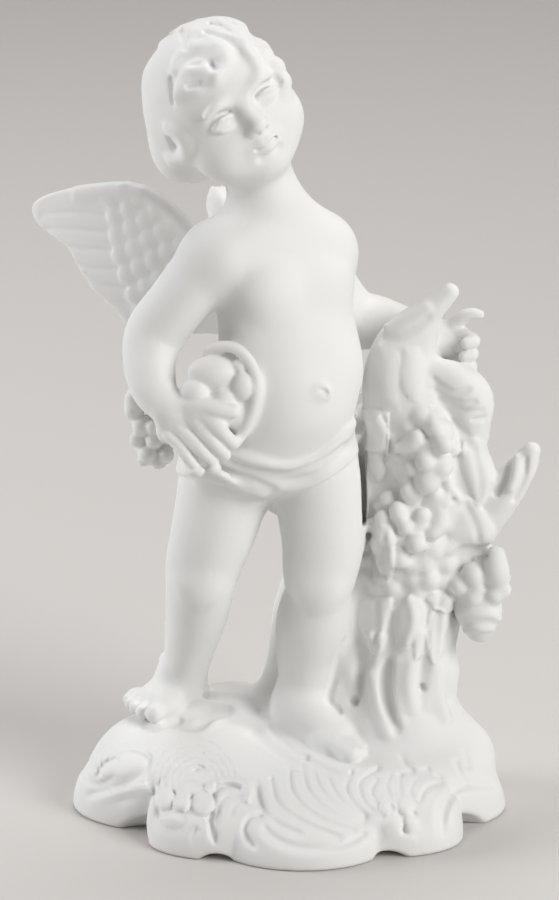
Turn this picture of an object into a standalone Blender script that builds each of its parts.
"""Bisque porcelain cherub with a basket of fruit, beside a vine-clad stump on a scrolled oval base.

The whole figurine is one fired piece, so it is one object here. It is built up like a clay sketch:
primitives and tubes are laid over one another, a voxel remesh fuses them, and a flat cut makes the foot.
X runs to the viewer's right, Y away from the viewer and Z up. The origin is the middle of the underside.
"""

import math

import bmesh
import bpy
from mathutils import Euler, Matrix, Vector

# Driving sizes in metres
FIGURE_HEIGHT = 0.177
BASE_WIDTH = 0.108
BASE_DEPTH = 0.081
BASE_EDGE_HEIGHT = 0.0065
MOUND_HEIGHT = 0.020
ARCH_HEIGHT = 0.0044

# The fusing of the clay
VOXEL = 0.0009
SMOOTHING_PASSES = 3
MOST_TRIANGLES = 9800

# The figure and the stump are laid out in units of 1/177 of the figure's height, above the mound's top
UNIT = FIGURE_HEIGHT / 177


def clear_scene():
    for obj in list(bpy.data.objects):
        bpy.data.objects.remove(obj)


def spot(point):
    """A layout point as a place in metres above the mound's top."""
    return Vector(point[:3]) * UNIT + Vector((0, 0, MOUND_HEIGHT))


def turned(degrees):
    return Euler([math.radians(a) for a in degrees]).to_matrix()


def smooth_path(knots, steps=4):
    """Points along a Catmull-Rom curve through the knots; radii and other numbers go along with them."""
    rows = [Vector(k) for k in knots]
    ends = [2 * rows[0] - rows[1], *rows, 2 * rows[-1] - rows[-2]]
    path = []
    for a, b, c, d in zip(ends, ends[1:], ends[2:], ends[3:]):
        for i in range(steps):
            t = i / steps
            path.append(
                0.5 * (2 * b + (c - a) * t + (2 * a - 5 * b + 4 * c - d) * t**2 + (3 * b - a - 3 * c + d) * t**3)
            )
    path.append(rows[-1])
    return path


class Clay:
    """Lumps and rolls that overlap, all in one mesh, until the remesh fuses them."""

    def __init__(self):
        self.mesh = bmesh.new()
        self.rolls = bpy.data.curves.new("rolls", "CURVE")
        self.rolls.dimensions = "3D"
        self.rolls.bevel_depth = UNIT
        self.rolls.bevel_resolution = 3
        self.rolls.use_fill_caps = True

    def ball(self, at, size, turn=(0, 0, 0)):
        """An ellipsoid: at and size in layout units, turn in degrees or as a matrix."""
        if isinstance(size, (int, float)):
            size = (size,) * 3
        matrix = turn if isinstance(turn, Matrix) else turned(turn)
        placed = Matrix.Translation(spot(at)) @ matrix.to_4x4() @ Matrix.Diagonal((*(Vector(size) * UNIT), 1))
        bmesh.ops.create_icosphere(self.mesh, subdivisions=4 if max(size) > 6 else 3, radius=1, matrix=placed)

    def limb(self, knots):
        """A round tapering roll through knots of x, y, z and radius, with round ends."""
        path = smooth_path(knots)
        spline = self.rolls.splines.new("POLY")
        spline.points.add(len(path) - 1)
        for point, p in zip(spline.points, path):
            point.co = (*spot(p), 1)
            point.radius = p[3]
        for p in (path[0], path[-1]):
            self.ball(p[:3], p[3])

    def column(self, knots, sides=28):
        """Oval rings lofted through knots of x, y, z, half width, half depth and turn about Z."""
        rings = []
        for p in smooth_path(knots):
            frame = turned((0, 0, p[5]))
            ring = []
            for s in range(sides):
                a = math.tau * s / sides
                off = frame @ Vector((math.cos(a) * p[3], math.sin(a) * p[4], 0))
                ring.append(self.mesh.verts.new(spot(Vector(p[:3]) + off)))
            rings.append(ring)
        self.skin(rings)

    def skin(self, rings):
        for one, other in zip(rings, rings[1:]):
            for s in range(len(one)):
                n = (s + 1) % len(one)
                self.mesh.faces.new((one[s], one[n], other[n], other[s]))
        self.mesh.faces.new(reversed(rings[0]))
        self.mesh.faces.new(rings[-1])

    def blade(self, knots, thickness, facing):
        """A flat leaf-like strip through knots of x, y, z and half-width, lying square to facing."""
        path = smooth_path(knots)
        sides = 10
        rings = []
        for i, p in enumerate(path):
            ahead = (path[min(i + 1, len(path) - 1)] - path[max(i - 1, 0)]).to_3d().normalized()
            across = ahead.cross(Vector(facing)).normalized()
            up = across.cross(ahead).normalized()
            ring = []
            for s in range(sides):
                a = math.tau * s / sides
                offset = across * math.cos(a) * p[3] + up * math.sin(a) * thickness / 2
                ring.append(self.mesh.verts.new(spot(p.to_3d() + offset)))
            rings.append(ring)
        self.skin(rings)

    def fuse(self, name, collection):
        """Joins the lumps with the rolls and returns them as one object, still unfused."""
        guide = bpy.data.objects.new("rolls", self.rolls)
        collection.objects.link(guide)
        bpy.context.view_layer.update()
        tubes = bpy.data.meshes.new_from_object(guide.evaluated_get(bpy.context.evaluated_depsgraph_get()))
        bpy.data.objects.remove(guide)
        self.mesh.from_mesh(tubes)
        bmesh.ops.remove_doubles(self.mesh, verts=self.mesh.verts, dist=1e-6)
        bmesh.ops.recalc_face_normals(self.mesh, faces=self.mesh.faces)
        mesh = bpy.data.meshes.new(name)
        self.mesh.to_mesh(mesh)
        obj = bpy.data.objects.new(name, mesh)
        collection.objects.link(obj)
        return obj


# The base: an oval cushion with a lobed rim that stands on feet, rising to a mound

BASE_SPOKES = 120
# Each lobe: its middle in degrees, half its spread, its reach as a share of the oval and how far its ends draw in
RIM_LOBES = ((-84, 25, 1.045, 0.2), (-118, 14, 0.94, 0.05), (-47, 17, 1.0, 0.09), (6, 25, 1.0, 0.1),
             (166, 32, 0.985, 0.12), (132, 22, 0.93, 0.08), (90, 26, 0.95, 0.08), (46, 24, 0.94, 0.08))
# Each arch under the rim: its middle in degrees, half its spread and its height as a share of the tallest
ARCHES = ((-146, 11, 1.0), (-110, 5, 0.4), (-61, 5, 0.4), (-24, 9, 0.9), (26, 8, 0.8), (69, 6, 0.5), (111, 6, 0.5),
          (146, 7, 0.8))
FOOT_SPREAD = 0.985


def off_by(angle, centre):
    return abs((angle - centre + 180) % 360 - 180)


def rim_radius(angle):
    """The base's outline at an angle in degrees, as a share of the plain oval."""
    lobes = [reach - sag * (off_by(angle, mid) / half) ** 2 for mid, half, reach, sag in RIM_LOBES]
    top = max(lobes)
    return top + 0.012 * math.log(sum(math.exp((r - top) / 0.012) for r in lobes))


def arch_lift(angle):
    """How far the rim's lower edge stands off the table at an angle, in metres."""
    lift = 0.0
    for mid, half, share in ARCHES:
        off = off_by(angle, mid) / half
        if off < 1:
            lift = max(lift, ARCH_HEIGHT * share * math.cos(off * math.pi / 2) ** 0.8)
    return lift


def mound(x, y):
    """The height of the base's upper side over a point, in metres, before its edge is rounded down."""
    a, b = BASE_WIDTH / 2, BASE_DEPTH / 2
    side = max(0.0, 1 - abs(x / a) ** 6) ** 0.5
    front = min(1.0, max(0.0, (y + b) / (b * 1.2))) ** 0.7
    back = min(1.0, max(0.0, (b - y) / (b * 0.55))) ** 0.6
    return BASE_EDGE_HEIGHT + (MOUND_HEIGHT - BASE_EDGE_HEIGHT) * side * front * back


def base(clay):
    """A loft of rings from the underside out to the rim and in over the mound."""
    below = -0.003
    shares = (0.6, 0.82, 0.93, FOOT_SPREAD, 1.0, 0.995, 0.97, 0.93, 0.87, 0.79, 0.69, 0.56, 0.42, 0.28, 0.13)
    rings = []
    for level, share in enumerate(shares):
        ring = []
        for i in range(BASE_SPOKES):
            angle = 360 * i / BASE_SPOKES
            reach = share * rim_radius(angle)
            x = math.cos(math.radians(angle)) * reach * BASE_WIDTH / 2
            y = math.sin(math.radians(angle)) * reach * BASE_DEPTH / 2
            lift = arch_lift(angle)
            if level < 2:
                z = below
            elif level == 2:
                z = below if lift == 0 else lift
            elif level == 3:
                z = lift - (0.001 if lift == 0 else 0)
            else:
                edge = max(0.0, (share - 0.72) / 0.28)
                z = lift + 0.0014 + (mound(x, y) - lift - 0.0014) * max(0.0, 1 - edge**2.6) ** 0.6
            ring.append(clay.mesh.verts.new((x, y, z)))
        rings.append(ring)
    clay.skin(rings)
    clay.ball((-30, 8, -9.5), (15, 14, 10.6))
    clay.ball((29.5, 11, -9), (21.5, 18, 11.5))
    clay.ball((-12, 20, -3), (16, 11, 8.8))


def surface_limb(clay, points, radius):
    """A ridge laid on the mound through points of x and y in millimetres."""
    rows = []
    for x, y in points:
        z = (mound(x / 1000, y / 1000) - MOUND_HEIGHT) / UNIT
        rows.append((x / 1000 / UNIT, y / 1000 / UNIT, z, radius / 1000 / UNIT))
    clay.limb(rows)


def scrollwork(clay):
    """C-scrolls, a fan of ridges and two five-petalled flowers on the cushion."""
    for x0, y0, reach, first, last in ((-41, -6, 7, 100, 330), (-11, -24, 6, -150, 80), (41, -11, 7, -140, 70)):
        points = []
        for i in range(8):
            a = math.radians(first + (last - first) * i / 7)
            points.append((x0 + reach * math.cos(a), y0 + reach * math.sin(a) * 0.8))
        surface_limb(clay, points, 1.7)
    for i in range(3):
        points = [(-4 + 8 * i, -16 - 1.5 * i), (2 + 8 * i, -23 - 1.2 * i), (10 + 7 * i, -28 - 0.6 * i)]
        surface_limb(clay, points, 1.6)
    for x0, y0 in ((-23, -21), (30, -20)):
        surface_limb(clay, [(x0 - 0.5, y0), (x0 + 0.5, y0)], 2.6)
        for i in range(5):
            a = math.tau * i / 5
            px, py = x0 + 4 * math.cos(a), y0 + 3.4 * math.sin(a)
            surface_limb(clay, [(px - 0.4, py), (px + 0.4, py)], 2.2)


# The stump with its two broken branches, vine leaves and grapes


def cluster(clay, centre, size, grape, count):
    """Grapes spread evenly over an ellipsoid by the golden angle."""
    clay.ball(centre, [s * 0.9 for s in size])
    for i in range(count):
        z = 1 - 2 * (i + 0.5) / count
        r = math.sqrt(1 - z * z)
        a = math.radians(137.5) * i
        off = Vector((r * math.cos(a) * size[0], r * math.sin(a) * size[1], z * size[2]))
        clay.ball(Vector(centre) + off, grape)


def stump(clay):
    clay.limb([(27, 11, -6, 17.5), (28, 11.5, 7, 13.8), (28.4, 12, 19.7, 13.0), (30.4, 13, 32.2, 12.8),
               (33.0, 14, 44.7, 13.0), (34.4, 14, 57.4, 12.8), (33.2, 14, 70, 12.4), (30.3, 13, 80.3, 10.8),
               (28, 12, 88, 8.4)])
    clay.limb([(23.4, 10.5, 80, 5.0), (24.0, 9.8, 87, 5.0), (25.6, 9.0, 93.8, 5.1), (28.6, 8.6, 98.4, 4.6),
               (32.0, 8.0, 101.9, 3.9), (35.6, 7.4, 105.4, 3.0), (38.9, 7, 108.6, 2.2)])
    clay.limb([(41, 12, 45, 7.5), (48.0, 9, 53.0, 5.6), (53.0, 7.6, 59.6, 4.6), (56.8, 6.8, 65.3, 3.5), (58.9, 6, 69.6, 2.2)])
    clay.limb([(11, 16, 50, 5), (5.2, 17, 37.7, 4.5), (1.0, 17, 26, 4.4), (-1.2, 17, 12, 5.0), (-3.6, 16, 2, 6.0)])
    clay.limb([(26, 15, 66, 8), (17, 16, 48, 9), (13, 16, 28, 10), (13, 15, 10, 12), (12, 14, -4, 14)])


def vine(clay):
    cluster(clay, (34, 3, 72.5), (6, 4, 7.5), 2.2, 34)
    cluster(clay, (23, 3, 42.5), (4.2, 4, 9.5), 2.2, 30)
    cluster(clay, (34.5, 1.5, 49.5), (4.8, 4, 7.5), 2.3, 28)
    cluster(clay, (46.5, 5, 37), (4.6, 4.4, 9.2), 2.2, 34)
    clay.blade([(35, 9, 88, 3), (40, 6, 86, 6.5), (43, 4, 81, 8), (43, 3, 76, 5.5), (42, 3.5, 72.5, 2)], 3.5, (0.25, -1, 0.2))
    clay.blade([(27, 2, 92, 3), (25, 1, 84, 6), (24, 1, 76, 5), (25, 1, 70, 2)], 3, (-0.3, -1, 0.1))
    clay.blade([(34, 0, 32, 2), (33, -2, 26, 4.5), (33, -2, 20, 4), (32, -1, 14, 1)], 3, (0, -1, 0))
    clay.blade([(42, 6, 66, 3), (45, 5, 60, 5), (46, 5, 52, 4), (44, 5, 47, 2)], 3, (0.4, -1, 0))


# The cherub's body


def torso(clay):
    clay.column([(-5, 5, 58, 18.5, 12.5, 20), (-4.4, 4.2, 66, 19.2, 13.2, 20), (-1.2, 1.6, 74, 18.2, 14, 25),
                 (0.8, -0.8, 82, 17.5, 14.8, 29), (0.6, -0.4, 90, 17.2, 14.5, 30), (0.2, 2, 98, 17.3, 13.4, 31),
                 (-0.4, 4, 106, 17.4, 12.4, 32), (-2, 5, 114, 18, 11.2, 34), (-3.8, 5.2, 120, 18.6, 10.2, 35),
                 (-4.3, 5.2, 124, 17.6, 9.6, 35), (-4.4, 5.2, 127, 14.6, 9.2, 35), (-4.4, 5, 129.6, 11.6, 9, 35),
                 (-4.8, 4.6, 132.5, 9.6, 8.8, 34), (-6, 4, 136, 8.7, 8.6, 30), (-9, 2.4, 144, 8.8, 8.8, 28)])
    clay.limb([(-16.4, -2, 119.3, 8), (-9, 2.5, 120.5, 7), (0, 7.5, 120.5, 7), (7.2, 12, 117.0, 8.0)])
    clay.limb([(-5, 5, 131.2, 7.0), (0.6, 8, 126.0, 6.2), (6.4, 11.6, 119.6, 7.2)])
    clay.ball((7.6, 2.5, 91), (9.9, 11, 13))
    for at in ((-14.2, 8.6, 62), (1.8, 14.4, 61)):
        clay.ball(at, 10.5)


# The toes, big one first: where each starts and ends along the foot and across it, and its thickness
TOES = ((13.4, 3.0, 19.4, 3.7, 2.5), (14.4, 0.2, 19.4, 0.4, 1.9), (14.0, -2.0, 18.4, -2.2, 1.75),
        (13.0, -4.0, 17.0, -4.5, 1.65), (11.6, -5.6, 15.2, -6.4, 1.5))


def foot(clay, heel, heading, inner, long, wide, lean):
    """One foot: the place under its heel, its heading, its big toe's side, the shares of its length and width, its lean."""
    a = math.radians(heading)
    ahead = Vector((math.sin(a), -math.cos(a), -0.13)) * long
    side = Vector((-math.cos(a) * inner, -math.sin(a) * inner, -lean)) * wide
    up = Vector((0, 0, 1))
    size = 0.5 + 0.45 * long

    def point(u, s, z, *more):
        return (*(Vector(heel) + ahead * u + side * s + up * z), *more)

    clay.ball(point(0, 0, 4.4), (4.9, 4.9, 4.8))
    clay.limb([point(1.5, 0, 9 * size, 5.6 * size), point(7.0, 0.4, 6.2 * size, 4.8 * size),
               point(12.4, 0.5, 4.0 * size, 3.6 * size)])
    turn = (0, 0, heading)
    clay.ball(point(7, -0.6, 3.2), (4.4 * wide, 7.6 * long, 3.4), turn)
    clay.ball(point(12.2, 0.0, 3.0), (5.6 * wide, 4.4, 3.0), turn)
    for root, root_side, tip, tip_side, thick in TOES:
        clay.limb([point(root, root_side, 3.4 * size, thick * size), point(tip, tip_side, thick + 0.6, thick * size)])


def legs(clay):
    clay.limb([(7.6, 4, 63.4, 11.3), (8.8, 2, 49.6, 10.1), (8.1, 1, 41.1, 9.0), (7.7, 1, 36.1, 7.9),
               (6.4, 4, 27.2, 8.9), (5.2, 6, 19.1, 7.6), (4.3, 7, 11.1, 6.2), (3.4, 7, 6, 5.7)])
    clay.limb([(-14.4, 5, 63.1, 11.3), (-17.6, 4, 50.3, 10.2), (-19.9, 4, 42.4, 9.2), (-20.8, 4, 37.1, 8.4),
               (-21.8, 8, 28.2, 7.6), (-23.4, 12.4, 19.2, 6.4), (-24.6, 15.4, 12.2, 5.6), (-25.2, 17, 8, 5.4)])
    clay.limb([(-5, 4, 63, 4.5), (-4.9, 4, 59.4, 2.2)])
    foot(clay, (1.2, 7.5, -2.5), 49, 1, 1.12, 0.92, 0)
    foot(clay, (-25.4, 19.7, 2.7), -38, -1, 0.85, 1.12, 0.08)


# The fingers of the right hand: knuckle, middle joint and tip as x and z, and the thickness
FINGERS = (((-18.0, 84.0), (-15.4, 81.4), (-12.6, 78.3), 1.8), ((-20.0, 81.6), (-17.3, 78.8), (-14.6, 75.6), 1.8),
           ((-23.0, 79.6), (-20.2, 76.9), (-17.3, 73.9), 1.75), ((-25.3, 77.6), (-23.2, 74.9), (-21.1, 72.2), 1.5))


def arms(clay):
    clay.limb([(-16.9, -2, 119.5, 8), (-25.2, -3, 109.2, 7.2), (-31.0, -2.5, 101, 7.2), (-32.4, -5.5, 95.5, 6.3),
               (-32.0, -8.4, 91.8, 5.8), (-30.9, -11, 88.8, 5.2), (-28.2, -13.6, 86.2, 4.4)])
    clay.ball((-24.8, -15.2, 83.9), (6.2, 2.8, 4.8), (0, 40, 0))
    clay.ball((-27.6, -14.0, 80.6), (3.0, 2.6, 3.6), (0, 30, 0))
    for (x0, z0), (x1, z1), (x2, z2), thick in FINGERS:
        clay.limb([(x0 - 2.6, -16.4, z0 + 2.2, thick), (x0, -17.5, z0, thick), (x1, -18.9, z1, thick), (x2, -17.9, z2, thick)])
    clay.limb([(-24.0, -15.4, 87.0, 2.5), (-20.3, -17.2, 87.4, 2.2), (-16.6, -18.2, 86.8, 1.9), (-12.9, -17.8, 86.0, 1.8)])
    clay.limb([(8.6, 12, 117.2, 8.2), (9.3, 18, 109, 7.2), (15, 22, 99, 7.4), (22, 21, 97.6, 6.4),
               (28, 20, 96.3, 5.4), (34, 18, 95.3, 4.4), (38, 16.5, 95, 4.2)])
    clay.ball((40.5, 15.5, 94.5), (4, 3.4, 4.8))
    clay.limb([(41, 15, 99, 1.9), (43.5, 14, 100.5, 1.7), (46.2, 13, 101.2, 1.3)])
    for z in (96.2, 92.6, 89.4):
        clay.limb([(41, 15, z, 1.9), (44.2, 12.6, z - 0.3, 1.8), (42.6, 10.8, z - 1, 1.6)])


# The head, tilted to its own right, with a plain calm child's face

HEAD_CENTRE = Vector((-15.0, 0.5, 156.1))
HEAD_TURN = turned((0, 0, 25)) @ turned((0, -28, 0)) @ turned((-5, 0, 0))


def head_point(x, y, z):
    return HEAD_CENTRE + HEAD_TURN @ Vector((x, y, z))


def head(clay):
    clay.ball(head_point(0, 2.6, 1.8), (15.8, 17, 15.6), HEAD_TURN)
    clay.ball(head_point(0.2, -2.6, -5.5), (14.6, 12, 13.2), HEAD_TURN)
    clay.ball(head_point(0, -8.8, 5), (10.8, 5.8, 8), HEAD_TURN)
    for side in (-1, 1):
        clay.ball(head_point(7.8 * side, -6.8, -10), (6.8, 6.4, 6.6), HEAD_TURN)
        clay.ball(head_point(6.1 * side, -12.6, -0.4), (3, 2, 2.1), HEAD_TURN)
    clay.ball(head_point(0.6, -9.8, -14.6), (5, 4.4, 4), HEAD_TURN)
    clay.limb([(*head_point(0, -13.4, 0.6), 1.5), (*head_point(0, -15.6, -4.2), 2)])
    clay.ball(head_point(0, -13.2, -9.6), (3.2, 2, 1.8), HEAD_TURN)


def hair(clay):
    """A close cap of locks from the crown to the temples and nape, with curls at the brow and ears."""
    for i in range(13):
        a = math.tau * (i + 0.5) / 13
        x, y = math.sin(a), -math.cos(a)
        low = 9.5 if y < -0.6 else -9 if y > -0.2 else 2
        clay.limb([(*head_point(6 * x, 4 + 6 * y, 14.8), 2.8),
                   (*head_point(12.4 * x, 3 + 13.2 * y, 11), 3),
                   (*head_point(14.6 * x, 2.5 + 15.6 * y, (low + 11) / 2), 2.9),
                   (*head_point(14.4 * x, 2.5 + 15 * y, low), 2.6)])
    for at, size in (((-15.6, 5.0, 163.0), (10.8, 12, 12.2)), ((-21.0, 5.5, 159.4), (12.4, 12.6, 12.6)),
                     ((-24.0, 5.5, 150.0), (8.6, 9.5, 12.0)), ((-22.4, 6.0, 143.6), (7.6, 8.2, 7.4))):
        clay.ball(at, size)
    clay.limb([(-25.0, -7.0, 166.0, 1.6), (-22.0, -8.4, 169.2, 2.0), (-18.4, -9.0, 169.4, 1.8), (-16.0, -9.4, 166.0, 1.5)])
    clay.limb([(-27.2, -5, 151.4, 1.5), (-24.6, -7, 151.0, 2), (-22.9, -7.5, 148.2, 2), (-23.4, -7, 145.0, 2), (-26.6, -5, 143.4, 1.6)])
    for at in ((-6.0, -3.5, 167.8), (-3.0, -4.0, 165.2), (-1.6, -4.5, 162.0), (-1.2, -4.5, 158.8)):
        clay.ball(at, (3.0, 3.2, 2.6), (0, 40, 0))


FEATHER_TIPS = ((54.9, 15.2), (48.6, 11.2), (44.6, 7.2), (41.2, 3.8), (37.7, 0.2), (33.8, -2.9), (29.9, -5.5), (25.6, -8))


def wing(clay, root, out, length, hand, droop):
    """Eight flight feathers fanned from the shoulder, under two rows of coverts."""
    root = Vector(root)
    out = Vector((*out, 0)).normalized() * length
    face = Vector((-out.y, out.x, 0)).normalized() * hand

    def place(s, t, lift=0.0):
        bend = hand * 0.007 * s * (56 - s) * length
        along = s - 0.0028 * s * (56 - s)
        return root + out * along + Vector((0, 0, (t - droop * along) * length)) + face * (lift + bend)

    for i, (s, t) in enumerate(FEATHER_TIPS):
        share = i / (len(FEATHER_TIPS) - 1)
        bow = 13 * (1 - share)
        clay.blade([(*place(2, 6 - 14 * share), 3.5), (*place(s * 0.42, t * 0.45 + bow * 0.95), 4.4),
                    (*place(s * 0.78, t * 0.9 + bow * 0.42), 4.2), (*place(s * 0.95, t * 0.99 + bow * 0.08), 2.8),
                    (*place(s, t), 1.2)], 3, face)
    clay.blade([(*place(-2, 4), 6), (*place(10, 11), 7.5), (*place(24, 15), 6.5), (*place(35, 15.5), 3)], 4.6, face)
    clay.blade([(*place(-2, -4), 7), (*place(10, 0), 8.5), (*place(22, 5), 6), (*place(30, 7), 3)], 4, face)


def wings(clay):
    wing(clay, (-12, 14, 107.6), (-0.884, 0.468), 1, 1, 0)
    wing(clay, (-8, 17, 113.6), (-0.2, 0.98), 0.82, -1, 0.3)


# The loincloth, the basket and its fruit


def loincloth(clay):
    top = [(-23.5, 3, 67), (-22.9, -7, 68.9), (-11.5, -11, 73.5), (0.8, -12.5, 72.6), (9.1, -11, 75.5),
           (17.5, -3, 80), (17, 9, 81), (8, 17, 78), (-6, 18.5, 73), (-18, 14, 68), (-23.5, 3, 67)]
    clay.limb([(*p, 2.6) for p in top])
    clay.limb([(-23, -6, 66, 2.2), (-14.6, -9.5, 66.5, 2.4), (-6.8, -10.5, 62.6, 2.6), (3.2, -11, 65.9, 2.6), (16.8, -3, 72.5, 2.2)])


# The basket's rim, from its upper left end over the top and down its right side, as x, y, z
BASKET_RIM = ((-18.4, -11.8, 99.4), (-15.2, -13.4, 100.6), (-12.0, -14.4, 100.4), (-9.3, -15.0, 98.2), (-7.6, -15.4, 95.0),
              (-7.1, -15.6, 90.8), (-8.0, -15.6, 85.6), (-10.0, -15.4, 80.8), (-12.6, -15.0, 77.2), (-16.4, -14.2, 75.8))
# The fruit: where each lies as x, y, z, and its half sizes
FRUIT = ((-17.6, -14.2, 94.6, (5.7, 3.4, 3.9)), (-21.6, -15.2, 90.3, (3.4, 3.3, 3.3)), (-14.8, -14.8, 88.9, (3.3, 2.8, 2.6)),
         (-10.4, -15.0, 91.6, (3.0, 2.7, 3.7)), (-11.0, -13.8, 96.0, (2.3, 2.2, 2.0)))


def basket(clay):
    """An oval bowl of fruit with its mouth to the front, and a bunch of grapes that hangs by the wrist."""
    clay.ball((-14.9, -9.4, 88.2), (8.2, 7.0, 11.8), (0, 4, 0))
    clay.limb([(*knot, 1.2) for knot in BASKET_RIM])
    for x, y, z, size in FRUIT:
        clay.ball((x, y, z), size)
    cluster(clay, (-32.5, -5.5, 76.5), (3.2, 3, 5), 2, 18)
    clay.blade([(-33, -5, 92, 1.5), (-36, -3, 88, 3.4), (-36.5, -3, 84, 3.6), (-35.5, -3.5, 79, 1.5)], 2.4, (-0.3, -1, 0))


def main():
    clear_scene()
    collection = bpy.data.collections.new("cherub figurine")
    cutters = bpy.data.collections.new("cutters")
    for c in (collection, cutters):
        bpy.context.scene.collection.children.link(c)
    clay = Clay()
    base(clay)
    scrollwork(clay)
    stump(clay)
    vine(clay)
    torso(clay)
    legs(clay)
    arms(clay)
    head(clay)
    hair(clay)
    wings(clay)
    loincloth(clay)
    basket(clay)
    figurine = clay.fuse("cherub_figurine", collection)
    remesh = figurine.modifiers.new("fuse", "REMESH")
    remesh.mode = "VOXEL"
    remesh.voxel_size = VOXEL
    smooth = figurine.modifiers.new("soften", "SMOOTH")
    smooth.factor = 0.5
    smooth.iterations = SMOOTHING_PASSES
    bpy.context.view_layer.update()
    fused = figurine.evaluated_get(bpy.context.evaluated_depsgraph_get())
    triangles = sum(len(f.vertices) - 2 for f in fused.data.polygons)
    decimate = figurine.modifiers.new("thin_out", "DECIMATE")
    decimate.ratio = MOST_TRIANGLES / triangles
    decimate.use_collapse_triangulate = True

    table = bpy.data.meshes.new("table")
    cut = bmesh.new()
    bmesh.ops.create_cube(cut, size=1, matrix=Matrix.Translation((0, 0, -0.025)) @ Matrix.Diagonal((0.3, 0.3, 0.05, 1)))
    cut.to_mesh(table)
    cutter = bpy.data.objects.new("table_cutter", table)
    cutter.hide_render = True
    cutter.display_type = "WIRE"
    cutters.objects.link(cutter)
    flat = figurine.modifiers.new("flat_foot", "BOOLEAN")
    flat.operation = "DIFFERENCE"
    flat.object = cutter


main()
